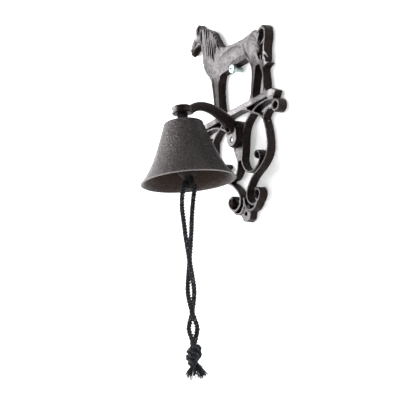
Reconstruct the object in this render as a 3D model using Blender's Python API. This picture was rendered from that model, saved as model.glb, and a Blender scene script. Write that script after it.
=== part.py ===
"""Wall mounted cast-iron bell with a horse plate.

Frame: the wall is the plane y = 0 and the bell stands out towards -y. +z is up and x runs
across the wall. The origin is on the plate's back, behind the middle of the arm's pad.
All sizes are in millimetres and each mesh is scaled to metres when its object is made.
"""

import math

import bmesh
import bpy
from mathutils import Matrix, Vector

MM = 0.001
GAP = 0.3                       # clearance between two pieces that touch

# Wall plate: one casting
PLATE_DEPTH = 9.0               # wall to the crest of the ribs
RIB_BACK = 3.4                  # width of a scroll rib at the wall
RIB_FRONT = 2.2                 # width of a scroll rib at its crest
SCROLL_HALF_WIDTH = 46.8        # middle of the outer scroll at its widest
SCROLL_BOTTOM = -73.0           # lowest point of the bottom volutes
GROUND_TOP = 29.0               # the bar that the horse stands on
GROUND_THICKNESS = 7.0
EYE_OUT = 64.4                  # screw eyes under the ends of the ground bar
EYE_DROP = 18.0
EYE_RADIUS = 6.9
EYE_HOLE = 3.0
TAB_RADIUS = 9.3                # bottom tab
TAB_DROP = 6.0
TAB_HOLE = 2.0
HORSE_LENGTH = 125.5            # muzzle to rump
HORSE_HEIGHT = 111.8            # hooves to ear tip
HORSE_DRAFT = 0.5               # how far the outline tapers in towards its front
TAIL_BACK = 4.2                 # width of the tail at the wall
TAIL_FRONT = 2.6
WEB_BOTTOM = -26.0              # web below the pad's seat, between the inner scrolls
WEB_HALF_TOP = 8.6
WEB_HALF_FOOT = 3.4

# Arm: one casting, held by two screws from behind the plate
BELL_REACH = 71.0               # wall to the bell's axis
BOSS_RISE = 16.8                # underside of the boss above the pad's middle
BOSS_HEIGHT = 7.2
BOSS_RADIUS = 10.0
BOSS_WAIST = 9.2                # between its rims
ARM_RADIUS = 4.4                # half thickness at the boss
PAD_HALF_WIDTH = 10.0
PAD_BOTTOM = -13.0
PAD_THICKNESS = 6.8
PAD_SCREW_OFFSET = 5.0
PAD_SCREW_RADIUS = 2.0
PAD_SCREW_HEAD = 3.9
PAD_SCREW_SUNK = 0.4            # the head below the plate's back
PAD_SCREW_SHORT = 0.5           # the end below the pad's face

# Bell
BELL_MOUTH = 46.0               # outer radius at the lip
BELL_CROWN = 18.4               # outer radius at the crown
BELL_HEIGHT = 58.5
BELL_WALL = 3.0
BELL_FLARE = 0.27               # share of the opening out that comes in the lip's flare
BELL_FLARE_POWER = 4.5
CROWN_ROUND = 2.8

# Bolt, nuts and washers through the crown
BOLT_RADIUS = 3.0
NUT_HEIGHT = 6.0
NUT_FLATS = 10.0
INNER_NUT_HEIGHT = 4.0
WASHER_THICKNESS = 2.0
WASHER_RADIUS = 8.0
EYE_BOLT_RING = 4.0             # centre line radius of the bolt's eye
EYE_BOLT_WIRE = 1.25

# Clapper
LINK_WIRE = 1.1
LINK_HALF_WIDTH = 3.2
LINK_LENGTH = 11.0              # between the centres of its two bends
CLAPPER_RING = 3.9
CLAPPER_WIRE = 1.4
BALL_RADIUS = 11.0
LUG_RADIUS = 6.0
LUG_THICKNESS = 5.5
LUG_HOLE = 2.9
LUG_DROP = 15.2                 # ball's centre to the cord hole

# Wall screw under the horse's belly
WALL_SCREW_X = 7.0
WALL_SCREW_RADIUS = 2.5
WALL_SCREW_HEAD = 5.25
WALL_SCREW_HEAD_HEIGHT = 3.2
WALL_SCREW_IN_WALL = 28.0

# Pull cord: one cord through the clapper's hole, its two halves twisted together
CORD_DIAMETER = 3.7
CORD_STEP = 7.5
KNOT_RADIUS = 7.0
KNOT_HEIGHT = 19.0
FRAY_RADIUS = 10.5
FRAY_HEIGHT = 14.0

# Places worked out from the sizes above
GROUND_BOTTOM = GROUND_TOP - GROUND_THICKNESS
EYE_Z = GROUND_TOP - EYE_DROP
BELL_TOP = BOSS_RISE - NUT_HEIGHT - WASHER_THICKNESS - 3 * GAP
BELL_BOTTOM = BELL_TOP - BELL_HEIGHT
CROWN_UNDER = BELL_TOP - BELL_WALL
INNER_WASHER_TOP = CROWN_UNDER - GAP
INNER_NUT_TOP = INNER_WASHER_TOP - WASHER_THICKNESS - GAP
INNER_NUT_BOTTOM = INNER_NUT_TOP - INNER_NUT_HEIGHT
BOLT_EYE_Z = INNER_NUT_BOTTOM - 1.0 - EYE_BOLT_RING - EYE_BOLT_WIRE
LINK_PIVOT_Z = BOLT_EYE_Z - EYE_BOLT_RING
LINK_TOP_Z = LINK_PIVOT_Z + EYE_BOLT_WIRE + GAP + LINK_WIRE
CLAPPER_PIVOT_Z = LINK_TOP_Z - LINK_LENGTH
CLAPPER_RING_Z = CLAPPER_PIVOT_Z + LINK_WIRE + GAP + CLAPPER_WIRE - CLAPPER_RING
BALL_Z = CLAPPER_RING_Z - CLAPPER_RING - BALL_RADIUS
LUG_Z = BALL_Z - LUG_DROP
PAD_FRONT = PLATE_DEPTH + GAP + PAD_THICKNESS
AXIS = Vector((0.0, -BELL_REACH, 0.0))

IRON = dict(color=(0.045, 0.038, 0.036, 1.0), metallic=0.6, roughness=0.6)
BELL_IRON = dict(color=(0.09, 0.082, 0.08, 1.0), metallic=0.7, roughness=0.55)
ZINC = dict(color=(0.62, 0.64, 0.63, 1.0), metallic=1.0, roughness=0.3)
STEEL = dict(color=(0.28, 0.28, 0.29, 1.0), metallic=1.0, roughness=0.4)
CORD = dict(color=(0.012, 0.014, 0.02, 1.0), metallic=0.0, roughness=0.85)


# Scene and object helpers

def clear_scene():
    for obj in list(bpy.data.objects):
        bpy.data.objects.remove(obj, do_unlink=True)


def make_material(name, color, metallic, roughness):
    material = bpy.data.materials.new(name)
    material.use_nodes = True
    shader = material.node_tree.nodes["Principled BSDF"]
    shader.inputs["Base Color"].default_value = color
    shader.inputs["Metallic"].default_value = metallic
    shader.inputs["Roughness"].default_value = roughness
    material.diffuse_color = color
    return material


def make_object(name, bm, finish, origin=(0.0, 0.0, 0.0)):
    """The bmesh, in millimetres and in the part's frame, as an object with its origin there."""
    bmesh.ops.recalc_face_normals(bm, faces=bm.faces)
    bmesh.ops.translate(bm, vec=-Vector(origin), verts=bm.verts)
    bmesh.ops.scale(bm, vec=(MM, MM, MM), verts=bm.verts)
    mesh = bpy.data.meshes.new(name)
    bm.to_mesh(mesh)
    bm.free()
    mesh.shade_smooth()
    mesh.set_sharp_from_angle(angle=math.radians(35))
    obj = bpy.data.objects.new(name, mesh)
    obj.location = Vector(origin) * MM
    obj.data.materials.append(make_material(name + "_finish", **finish))
    bpy.context.collection.objects.link(obj)
    return obj


def combine(target, tool, operation):
    """Adds a Boolean of the tool, which becomes a helper that isn't part of the model."""
    modifier = target.modifiers.new(tool.name, "BOOLEAN")
    modifier.operation = operation
    modifier.object = tool
    tool.hide_render = True
    tool.display_type = "WIRE"


# Curves in a plane

def smooth(points, steps, closed=False):
    """A Catmull-Rom curve through the points, with that many steps between two of them."""
    count = len(points)
    result = []
    for i in range(count if closed else count - 1):
        near = []
        for j in (i - 1, i, i + 1, i + 2):
            near.append(Vector(points[j % count if closed else min(max(j, 0), count - 1)]))
        before, start, end, after = near
        for k in range(steps):
            t = k / steps
            result.append(0.5 * (2 * start + (end - before) * t
                                 + (2 * before - 5 * start + 4 * end - after) * t ** 2
                                 + (3 * start - before - 3 * end + after) * t ** 3))
    if not closed:
        result.append(Vector(points[-1]))
    return result


def arc(center, radius, start, end, steps):
    """Points of an arc in degrees, both ends included."""
    result = []
    for k in range(steps + 1):
        angle = math.radians(start + (end - start) * k / steps)
        result.append(Vector((center[0] + radius * math.cos(angle),
                              center[1] + radius * math.sin(angle))))
    return result


def side_of(path, i):
    """The unit normal of the path at its point i."""
    along = path[min(i + 1, len(path) - 1)] - path[max(i - 1, 0)]
    return Vector((-along.y, along.x)).normalized()


def strip(path, width):
    """The outline of a band of that width along the path, with round ends."""
    half = width / 2
    left = [p + side_of(path, i) * half for i, p in enumerate(path)]
    right = [p - side_of(path, i) * half for i, p in enumerate(path)]
    start = math.degrees(math.atan2(*(left[0] - path[0]).yx))
    end = math.degrees(math.atan2(*(right[-1] - path[-1]).yx))
    first = arc(path[0], half, start + 180, start, 4)[1:-1]
    last = arc(path[-1], half, end + 180, end, 4)[1:-1]
    return first + left + last + right[::-1]


def mirrored(points):
    return [Vector((-p[0], p[1])) for p in points]


# Solids

def add_loft(bm, loops):
    """A closed solid through the loops, which all have the same number of points."""
    rings = [[bm.verts.new(p) for p in loop] for loop in loops]
    for lower, upper in zip(rings, rings[1:]):
        count = len(lower)
        for i in range(count):
            j = (i + 1) % count
            bm.faces.new((lower[i], lower[j], upper[j], upper[i]))
    bm.faces.new(rings[0][::-1])
    bm.faces.new(rings[-1])


def upright(outline, y):
    return [(p[0], y, p[1]) for p in outline]


def plate_solid(name, back, front, depth=PLATE_DEPTH):
    """A part of the plate, from the wall to its crest; the two outlines match point by point."""
    bm = bmesh.new()
    add_loft(bm, [upright(back, 0.0), upright(front, -depth)])
    return make_object(name, bm, IRON)


def rib_solid(name, path):
    return plate_solid(name, strip(path, RIB_BACK), strip(path, RIB_FRONT))


def turned(profile, segments=40):
    """A bmesh of the (radius, height) profile spun about z; a radius of 0 closes it."""
    bm = bmesh.new()
    verts = [bm.verts.new((r, 0.0, z)) for r, z in profile]
    edges = [bm.edges.new(pair) for pair in zip(verts, verts[1:])]
    if profile[0][0] > 0:
        edges.append(bm.edges.new((verts[-1], verts[0])))
    bmesh.ops.spin(bm, geom=verts + edges, cent=(0, 0, 0), axis=(0, 0, 1),
                   angle=2 * math.pi, steps=segments, use_merge=True)
    bmesh.ops.remove_doubles(bm, verts=bm.verts, dist=1e-4)
    return bm


def turned_object(name, profile, finish, center, segments=40, origin=(0.0, 0.0, 0.0)):
    bm = turned(profile, segments)
    bmesh.ops.translate(bm, vec=center, verts=bm.verts)
    return make_object(name, bm, finish, origin)


def cylinder_y(name, radius, y_start, y_end, x, z, segments=24):
    turn = 180 / segments       # no point of it stands straight above its middle
    circle = arc((x, z), radius, turn, turn + 360, segments)[:-1]
    bm = bmesh.new()
    add_loft(bm, [upright(circle, y_start), upright(circle, y_end)])
    return make_object(name, bm, STEEL)


def cylinder_z(name, radius, z_start, z_end, x, y, segments=24):
    turn = 180 / segments
    circle = arc((x, y), radius, turn, turn + 360, segments)[:-1]
    bm = bmesh.new()
    add_loft(bm, [[(p.x, p.y, z) for p in circle] for z in (z_start, z_end)])
    return make_object(name, bm, STEEL)


def ring_mesh(center, radius, wire, across, stretch=0.0, turns=24, sides=8):
    """A wire ring in the plane of z and the unit vector across, drawn out along z by stretch."""
    normal = across.cross(Vector((0, 0, 1)))
    bm = bmesh.new()
    rings = []
    for i in range(turns):
        angle = 2 * math.pi * i / turns
        out = across * math.cos(angle) + Vector((0, 0, math.sin(angle)))
        shift = Vector((0, 0, math.copysign(stretch / 2, math.sin(angle + 1e-6))))
        middle = center + out * radius + shift
        ring = []
        for k in range(sides):
            turn = 2 * math.pi * k / sides
            point = middle + (out * math.cos(turn) + normal * math.sin(turn)) * wire
            ring.append(bm.verts.new(point))
        rings.append(ring)
    for i in range(turns):
        for k in range(sides):
            a, b = rings[i], rings[(i + 1) % turns]
            n = (k + 1) % sides
            bm.faces.new((a[k], a[n], b[n], b[k]))
    return bm


# Wall plate

def horse_outline():
    """The horse's side view, facing -x, as shares of its length and height from its hooves."""
    muzzle = [(-0.572, 0.786), (-0.543, 0.827), (-0.491, 0.864), (-0.454, 0.910),
              (-0.436, 0.951), (-0.417, 0.942), (-0.389, 1.000), (-0.344, 0.918)]
    topline = [(-0.300, 0.893), (-0.242, 0.872), (-0.198, 0.827), (-0.169, 0.761),
               (-0.139, 0.695), (-0.103, 0.642), (-0.044, 0.609), (0.073, 0.589),
               (0.206, 0.576), (0.323, 0.584), (0.396, 0.563), (0.428, 0.530)]
    rump = [(0.392, 0.460), (0.367, 0.383), (0.380, 0.320)]
    far_hind = [(0.425, 0.259), (0.425, 0.111), (0.418, 0.045), (0.429, 0.0),
                (0.374, 0.0), (0.396, 0.062), (0.396, 0.177), (0.374, 0.259)]
    near_hind = [(0.337, 0.259), (0.312, 0.177), (0.282, 0.095), (0.264, 0.045),
                 (0.264, 0.0), (0.198, 0.0), (0.227, 0.045), (0.253, 0.111),
                 (0.279, 0.185), (0.293, 0.259), (0.264, 0.334)]
    belly = [(0.220, 0.375), (0.073, 0.375), (-0.059, 0.370), (-0.139, 0.366)]
    fore = [(-0.161, 0.317), (-0.183, 0.234), (-0.190, 0.111), (-0.183, 0.0),
            (-0.271, 0.0), (-0.261, 0.111), (-0.268, 0.234), (-0.282, 0.358),
            (-0.308, 0.416)]
    chest = [(-0.344, 0.465), (-0.367, 0.522), (-0.378, 0.589), (-0.374, 0.654),
             (-0.363, 0.720), (-0.355, 0.761), (-0.374, 0.786)]
    jaw = [(-0.425, 0.786), (-0.484, 0.769), (-0.528, 0.745), (-0.564, 0.757)]
    shares = (muzzle + topline + rump + far_hind + near_hind + belly + fore + chest + jaw)
    return [Vector((x * HORSE_LENGTH, GROUND_TOP - GAP + z * HORSE_HEIGHT))
            for x, z in shares]


def inset(outline, amount):
    """The closed outline moved inwards; its points run clockwise."""
    count = len(outline)
    result = []
    for i, p in enumerate(outline):
        along = (outline[(i + 1) % count] - outline[i - 1]).normalized()
        result.append(p + Vector((along.y, -along.x)) * amount)
    return result


def belly_height():
    """The height of the horse's belly line, which rests on the wall screw."""
    return GROUND_TOP - GAP + 0.375 * HORSE_HEIGHT


def tail_path():
    rump = Vector((0.380 * HORSE_LENGTH, GROUND_TOP + 0.535 * HORSE_HEIGHT))
    bends = [(0, 0), (0.0558, 0.0304), (0.0956, 0.0286), (0.1147, -0.0134), (0.1052, -0.0805),
             (0.0813, -0.1431), (0.0685, -0.2057), (0.0590, -0.2594), (0.0398, -0.3041)]
    return smooth([rump + Vector((x * HORSE_LENGTH, z * HORSE_HEIGHT)) for x, z in bends], 3)


def outer_scroll():
    """From the eye down the outside to the bottom volute."""
    w, b = SCROLL_HALF_WIDTH, SCROLL_BOTTOM
    points = [(EYE_OUT - 5.5, EYE_Z - 0.9), (w + 5.6, EYE_Z), (w + 1.2, EYE_Z - 1.8),
              (w - 2.4, EYE_Z - 5.5), (w - 2.2, EYE_Z - 9.2), (w - 0.8, -4.6), (w, -13.8),
              (w - 0.3, -20.2), (w - 1.7, -26.7), (w - 4.5, -31.3), (w - 9.1, -35.9),
              (w - 16.4, b + 32.5), (w - 28.4, b + 27.0), (w - 33.0, b + 23.3),
              (w - 37.6, b + 18.7), (w - 40.4, b + 14.1), (w - 41.3, b + 10.4),
              (w - 40.4, b + 5.8), (w - 37.6, b + 2.2), (w - 33.0, b), (w - 28.4, b + 0.3),
              (w - 23.8, b + 3.1), (w - 21.0, b + 6.8), (w - 20.7, b + 10.4),
              (w - 23.0, b + 13.6), (w - 26.4, b + 13.4)]
    return smooth(points, 2)


def inner_scroll():
    """From the eye along the ground bar, down beside the pad and out to its curl."""
    top = GROUND_BOTTOM
    points = [(EYE_OUT - 3.0, EYE_Z + 7.4), (EYE_OUT - 11, top - 2.2), (46.0, top - 2.2),
              (36.8, top - 3.1), (25.8, top - 7.3), (16.6, 8.7), (11.4, 1.8), (8.6, -6.4),
              (7.0, -13.8), (4.6, -21.2), (3.4, -26.5), (5.0, -33.1), (8.3, -37.7),
              (12.9, -40.4), (18.4, -40.9), (23.9, -39.6), (28.5, -36.8), (31.5, -33.1),
              (32.6, -28.5), (30.8, -24.6), (27.4, -23.4), (25.0, -25.6)]
    return smooth(points, 2)


def brace():
    """From under the ground bar across the inner scroll to the outer one."""
    points = [(10.0, GROUND_BOTTOM + 1.5), (18.4, GROUND_BOTTOM - 0.8),
              (27.6, GROUND_BOTTOM - 6.4), (36.8, EYE_Z),
              (SCROLL_HALF_WIDTH - 2.6, EYE_Z - 6.4)]
    return smooth(points, 3)


def foot_scroll():
    """The small arc under a bottom volute."""
    b = SCROLL_BOTTOM
    points = [(0.3, b + 8.8), (1.0, b + 2.2), (3.8, b - 2.4), (9.2, b - 4.6),
              (15.6, b - 3.4), (20.0, b + 0.6)]
    return smooth(points, 3)


def make_wall_plate():
    outline = horse_outline()
    plate = plate_solid("wall_plate", outline, inset(outline, HORSE_DRAFT))
    joined = []
    half = RIB_BACK / 2
    bar = [(-EYE_OUT + 1, GROUND_BOTTOM - 2.5), (-EYE_OUT + 12, GROUND_BOTTOM),
           (EYE_OUT - 12, GROUND_BOTTOM), (EYE_OUT - 1, GROUND_BOTTOM - 2.5),
           (EYE_OUT + 3, GROUND_TOP - 4.0), (EYE_OUT - 3, GROUND_TOP),
           (-EYE_OUT + 3, GROUND_TOP), (-EYE_OUT - 3, GROUND_TOP - 4.0)]
    bar = [Vector(p) for p in bar][::-1]
    joined.append(plate_solid("ground_bar", bar, inset(bar, 0.3), PLATE_DEPTH - 0.05))
    tail = tail_path()
    joined.append(plate_solid("tail", strip(tail, TAIL_BACK), strip(tail, TAIL_FRONT),
                              PLATE_DEPTH - 0.1))
    tuft = [tail[-1] + Vector(p) for p in ((-1.5, 5), (8.4, 0.5), (1.0, -3.0), (-6.0, -2.6))]
    joined.append(plate_solid("tail_tuft", tuft, inset(tuft, HORSE_DRAFT), PLATE_DEPTH - 0.15))
    middle = arc((0, PAD_SCREW_OFFSET), PAD_HALF_WIDTH, 180, 0, 14)
    middle += arc((0, PAD_BOTTOM + PAD_HALF_WIDTH), PAD_HALF_WIDTH, 0, -180, 14)
    joined.append(plate_solid("pad_seat", middle, middle, PLATE_DEPTH))
    web = [Vector(p) for p in ((-WEB_HALF_TOP, PAD_BOTTOM), (WEB_HALF_TOP, PAD_BOTTOM),
                               (WEB_HALF_FOOT, WEB_BOTTOM), (-WEB_HALF_FOOT, WEB_BOTTOM))]
    joined.append(plate_solid("web", web, web, PLATE_DEPTH - 0.2))
    tab_z = SCROLL_BOTTOM - TAB_DROP
    tab = arc((0, tab_z), TAB_RADIUS, 180, 0, 12)
    tab += [Vector((TAB_RADIUS * 0.62, tab_z - TAB_RADIUS * 0.8)),
            Vector((0, tab_z - TAB_RADIUS)),
            Vector((-TAB_RADIUS * 0.62, tab_z - TAB_RADIUS * 0.8))]
    joined.append(plate_solid("tab", tab, inset(tab, 0.6), PLATE_DEPTH - 1.0))
    for side, turn in (("right", lambda p: p), ("left", mirrored)):
        for shape in (outer_scroll, inner_scroll, brace, foot_scroll):
            joined.append(rib_solid(shape.__name__ + "_" + side, turn(shape())))
        volute_end = turn([outer_scroll()[-1]])[0]
        ball = arc(volute_end, half + 0.7, 360, 0, 12)[:-1]
        joined.append(plate_solid("volute_end_" + side, ball, ball, PLATE_DEPTH - 0.3))
        eye_center = turn([Vector((EYE_OUT, EYE_Z))])[0]
        eye = arc(eye_center, EYE_RADIUS, 360, 0, 28)[:-1]
        joined.append(plate_solid("eye_" + side, eye, inset(eye, 0.4), PLATE_DEPTH - 0.4))
    for tool in joined:
        combine(plate, tool, "UNION")
    through = PLATE_DEPTH + 2
    for side in (1, -1):
        cutter = cylinder_y(f"eye_hole_{side}", EYE_HOLE, 2, -through, side * EYE_OUT, EYE_Z)
        combine(plate, cutter, "DIFFERENCE")
        z = side * PAD_SCREW_OFFSET
        cutter = cylinder_y(f"pad_hole_{side}", PAD_SCREW_RADIUS + GAP, 2, -through, 0, z)
        combine(plate, cutter, "DIFFERENCE")
        cutter = cylinder_y(f"pad_sink_{side}", PAD_SCREW_HEAD + GAP, 2,
                            -(PAD_SCREW_HEAD - PAD_SCREW_RADIUS + 1.0 + GAP), 0, z)
        combine(plate, cutter, "DIFFERENCE")
    cutter = cylinder_y("tab_hole", TAB_HOLE, 2, -through, 0, tab_z - 0.6, 16)
    combine(plate, cutter, "DIFFERENCE")
    return plate


# Arm

def arm_point(t):
    """(out from the wall, height) of the arm's centre line, from the pad at 0 to the boss at 1."""
    reach = BELL_REACH
    start = Vector((PLATE_DEPTH + 3.0, 5.0))
    lift = Vector((PLATE_DEPTH + 0.22 * (reach - PLATE_DEPTH), BOSS_RISE + 5.5))
    over = Vector((reach - 22.0, BOSS_RISE + 18.5))
    end = Vector((reach - BOSS_WAIST + 1.5, BOSS_RISE + BOSS_HEIGHT * 0.42))
    return (start * (1 - t) ** 3 + 3 * lift * t * (1 - t) ** 2
            + 3 * over * t ** 2 * (1 - t) + end * t ** 3)


def arm_section(t, sides=16):
    """An oval across the centre line: thick and wide at the pad, round at the boss."""
    center = arm_point(t)
    along = (arm_point(min(t + 0.01, 1)) - arm_point(max(t - 0.01, 0))).normalized()
    half_thick = ARM_RADIUS + 2.8 * (1 - t) ** 2
    half_wide = ARM_RADIUS + (PAD_HALF_WIDTH - 1.5 - ARM_RADIUS) * (1 - t) ** 2
    ring = []
    for k in range(sides):
        angle = 2 * math.pi * k / sides
        up = half_thick * math.sin(angle)
        y = -(center.x - along.y * up)
        ring.append((half_wide * math.cos(angle), y, center.y + along.x * up))
    return ring


def make_bell_arm():
    bm = bmesh.new()
    steps = 20
    add_loft(bm, [arm_section(k / steps) for k in range(steps + 1)])
    arm = make_object("bell_arm", bm, IRON)
    pad = arc((0, PAD_SCREW_OFFSET), PAD_HALF_WIDTH, 180, 0, 14)
    pad += arc((0, PAD_BOTTOM + PAD_HALF_WIDTH), PAD_HALF_WIDTH, 0, -180, 14)
    bm = bmesh.new()
    add_loft(bm, [upright(pad, -PLATE_DEPTH + 1), upright(inset(pad, 0.4), -PAD_FRONT + 2),
                  upright(inset(pad, 1.8), -PAD_FRONT)])
    combine(arm, make_object("arm_pad", bm, IRON), "UNION")
    low, high = BOSS_RISE, BOSS_RISE + BOSS_HEIGHT
    bore = BOLT_RADIUS + GAP
    rim = 0.6
    boss = [(bore, high), (BOSS_RADIUS - 2 * rim, high), (BOSS_RADIUS - 0.3, high - rim),
            (BOSS_WAIST, low + BOSS_HEIGHT * 0.5), (BOSS_RADIUS, low + rim),
            (BOSS_RADIUS - rim, low), (bore, low)]
    combine(arm, turned_object("arm_boss", boss, IRON, AXIS), "UNION")
    # Anything behind the plate's crest is cut away, so the arm seats on the plate.
    seat = bmesh.new()
    bmesh.ops.create_cube(seat, size=1.0)
    bmesh.ops.scale(seat, vec=(80, 40, 120), verts=seat.verts)
    bmesh.ops.translate(seat, vec=(0, 20 - PLATE_DEPTH - GAP, 0), verts=seat.verts)
    combine(arm, make_object("arm_seat_cut", seat, IRON), "DIFFERENCE")
    for side in (1, -1):
        cutter = cylinder_y(f"arm_tapping_{side}", PAD_SCREW_RADIUS + GAP, 0, -40, 0,
                            side * PAD_SCREW_OFFSET)
        combine(arm, cutter, "DIFFERENCE")
    return arm


def make_pad_screws():
    """Two countersunk screws from behind the plate into the arm's pad."""
    for name, side in (("arm_screw_upper", 1), ("arm_screw_lower", -1)):
        z = side * PAD_SCREW_OFFSET
        head = arc((0, z), PAD_SCREW_HEAD, 0, 360, 24)[:-1]
        shank = arc((0, z), PAD_SCREW_RADIUS, 0, 360, 24)[:-1]
        under = PAD_SCREW_HEAD - PAD_SCREW_RADIUS
        bm = bmesh.new()
        rim = -PAD_SCREW_SUNK - 0.6
        add_loft(bm, [upright(head, -PAD_SCREW_SUNK), upright(head, rim),
                      upright(shank, rim - under),
                      upright(shank, -PAD_FRONT + PAD_SCREW_SHORT)])
        screw = make_object(name, bm, ZINC)
        for turn in (0, 90):
            slot = bmesh.new()
            bmesh.ops.create_cube(slot, size=1.0)
            bmesh.ops.scale(slot, vec=(4.2, 3.0, 1.0), verts=slot.verts)
            bmesh.ops.rotate(slot, cent=(0, 0, 0), verts=slot.verts,
                             matrix=rotation_y(turn))
            bmesh.ops.translate(slot, vec=(0, 0.1, z), verts=slot.verts)
            combine(screw, make_object(f"{name}_slot_{turn}", slot, ZINC), "DIFFERENCE")


def rotation_y(degrees):
    return Matrix.Rotation(math.radians(degrees), 3, "Y")


# Bell and the stack through its crown

def bell_radius(share):
    """The outer radius at a share of the height above the lip."""
    rest = 1 - share
    opening = (1 - BELL_FLARE) * rest + BELL_FLARE * rest ** BELL_FLARE_POWER
    return BELL_CROWN + (BELL_MOUTH - BELL_CROWN) * opening


def bell_profile(steps=13):
    """Up the outside from the lip to the crown, and back down the inside."""
    straight = BELL_HEIGHT - CROWN_ROUND
    outside = []
    for k in range(steps + 1):
        height = straight * (k / steps) ** 1.3
        outside.append((bell_radius(height / BELL_HEIGHT), BELL_BOTTOM + height))
    top = arc((outside[-1][0] - CROWN_ROUND, BELL_BOTTOM + straight), CROWN_ROUND, 15, 90, 4)
    hole = BOLT_RADIUS + GAP
    inside = []
    for radius, z in outside[::-1]:
        if z < CROWN_UNDER - CROWN_ROUND:
            inside.append((radius - BELL_WALL, z))
    inside[-1] = (outside[0][0] - BELL_WALL + 0.8, BELL_BOTTOM)
    shoulder = (inside[0][0] - CROWN_ROUND, CROWN_UNDER)
    profile = [tuple(p) for p in outside] + [tuple(p) for p in top]
    profile += [(hole, BELL_TOP), (hole, CROWN_UNDER), shoulder] + inside
    return profile


def make_bell():
    return turned_object("bell", bell_profile(), BELL_IRON, AXIS, 48)


def washer(name, top):
    hole = BOLT_RADIUS + GAP
    low = top - WASHER_THICKNESS
    profile = [(WASHER_RADIUS, low), (WASHER_RADIUS, top), (hole, top), (hole, low)]
    turned_object(name, profile, STEEL, AXIS, 32)


def hex_nut(name, top, height):
    corner = NUT_FLATS / 2 / math.cos(math.radians(30))
    outline = arc((0, -BELL_REACH), corner, 30, 390, 6)[:-1]
    bm = bmesh.new()
    add_loft(bm, [[(p.x, p.y, z) for p in outline] for z in (top - height, top)])
    nut = make_object(name, bm, STEEL)
    bore = cylinder_z(name + "_bore", BOLT_RADIUS + GAP, top - height - 2, top + 2, 0,
                      -BELL_REACH)
    combine(nut, bore, "DIFFERENCE")


def make_eye_bolt():
    top = BOSS_RISE + BOSS_HEIGHT - 0.8
    low = BOLT_EYE_Z + EYE_BOLT_RING
    profile = [(0, top), (BOLT_RADIUS - 0.5, top), (BOLT_RADIUS, top - 0.5),
               (BOLT_RADIUS, low + 1.2), (EYE_BOLT_WIRE + 0.4, low - 0.3), (0, low - 0.3)]
    bolt = turned_object("eye_bolt", profile, STEEL, AXIS, 24)
    eye = ring_mesh(AXIS + Vector((0, 0, BOLT_EYE_Z)), EYE_BOLT_RING, EYE_BOLT_WIRE,
                    Vector((1, 0, 0)))
    combine(bolt, make_object("bolt_eye_ring", eye, STEEL), "UNION")


def make_clapper_link():
    middle = AXIS + Vector((0, 0, LINK_TOP_Z - LINK_LENGTH / 2))
    link = ring_mesh(middle, LINK_HALF_WIDTH, LINK_WIRE, Vector((0, 1, 0)),
                     LINK_LENGTH - 2 * LINK_HALF_WIDTH)
    make_object("clapper_link", link, STEEL, AXIS + Vector((0, 0, LINK_PIVOT_Z)))


def make_clapper():
    """Top ring, ball and flat lug in one casting."""
    pivot = AXIS + Vector((0, 0, CLAPPER_PIVOT_Z))
    neck_top = CLAPPER_RING_Z - CLAPPER_RING + 0.2
    profile = [(0, neck_top), (2.0, neck_top), (2.6, neck_top - 1.6)]
    for angle in range(70, -61, -10):
        turn = math.radians(angle)
        profile.append((BALL_RADIUS * math.cos(turn), BALL_Z + BALL_RADIUS * math.sin(turn)))
    profile += [(4.4, BALL_Z - BALL_RADIUS - 0.3), (3.0, LUG_Z + 2.9), (0, LUG_Z + 2.9)]
    clapper = turned_object("clapper", profile, BELL_IRON, AXIS, 32, pivot)
    ring = ring_mesh(AXIS + Vector((0, 0, CLAPPER_RING_Z)), CLAPPER_RING, CLAPPER_WIRE,
                     Vector((1, 0, 0)))
    combine(clapper, make_object("clapper_ring", ring, BELL_IRON), "UNION")
    half = LUG_THICKNESS / 2
    lug = arc((0, LUG_Z), LUG_RADIUS, 360, 180, 16)
    lug += [Vector((-LUG_RADIUS * 0.95, BALL_Z - BALL_RADIUS * 0.7)),
            Vector((LUG_RADIUS * 0.95, BALL_Z - BALL_RADIUS * 0.7))]
    bm = bmesh.new()
    add_loft(bm, [upright(inset(lug, 0.7), -BELL_REACH - half),
                  upright(lug, -BELL_REACH - half + 0.7),
                  upright(lug, -BELL_REACH + half - 0.7),
                  upright(inset(lug, 0.7), -BELL_REACH + half)])
    combine(clapper, make_object("clapper_lug", bm, BELL_IRON), "UNION")
    bore = cylinder_y("lug_bore", LUG_HOLE, -BELL_REACH - 9, -BELL_REACH + 9, 0, LUG_Z)
    combine(clapper, bore, "DIFFERENCE")


# Wall screw

def make_wall_screw():
    """A pan head screw whose shank carries the horse's belly."""
    x = WALL_SCREW_X
    z = belly_height() - GAP - WALL_SCREW_RADIUS
    under_head = PLATE_DEPTH + 2 * GAP
    bm = bmesh.new()
    loops = []
    head = WALL_SCREW_HEAD
    front = -under_head - WALL_SCREW_HEAD_HEIGHT
    for radius, y in ((head * 0.5, front), (head * 0.82, front + 0.5), (head, front + 1.7),
                      (head, -under_head), (WALL_SCREW_RADIUS, -under_head),
                      (WALL_SCREW_RADIUS, WALL_SCREW_IN_WALL - 7),
                      (0.4, WALL_SCREW_IN_WALL)):
        loops.append(upright(arc((x, z), radius, 0, 360, 28)[:-1], y))
    add_loft(bm, loops)
    screw = make_object("wall_screw", bm, ZINC)
    for turn in (20, 110):
        slot = bmesh.new()
        bmesh.ops.create_cube(slot, size=1.0)
        bmesh.ops.scale(slot, vec=(5.4, 3.6, 1.1), verts=slot.verts)
        bmesh.ops.rotate(slot, cent=(0, 0, 0), verts=slot.verts, matrix=rotation_y(turn))
        bmesh.ops.translate(slot, vec=(x, front, z), verts=slot.verts)
        combine(screw, make_object(f"wall_screw_slot_{turn}", slot, ZINC), "DIFFERENCE")


# Pull cord

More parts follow.
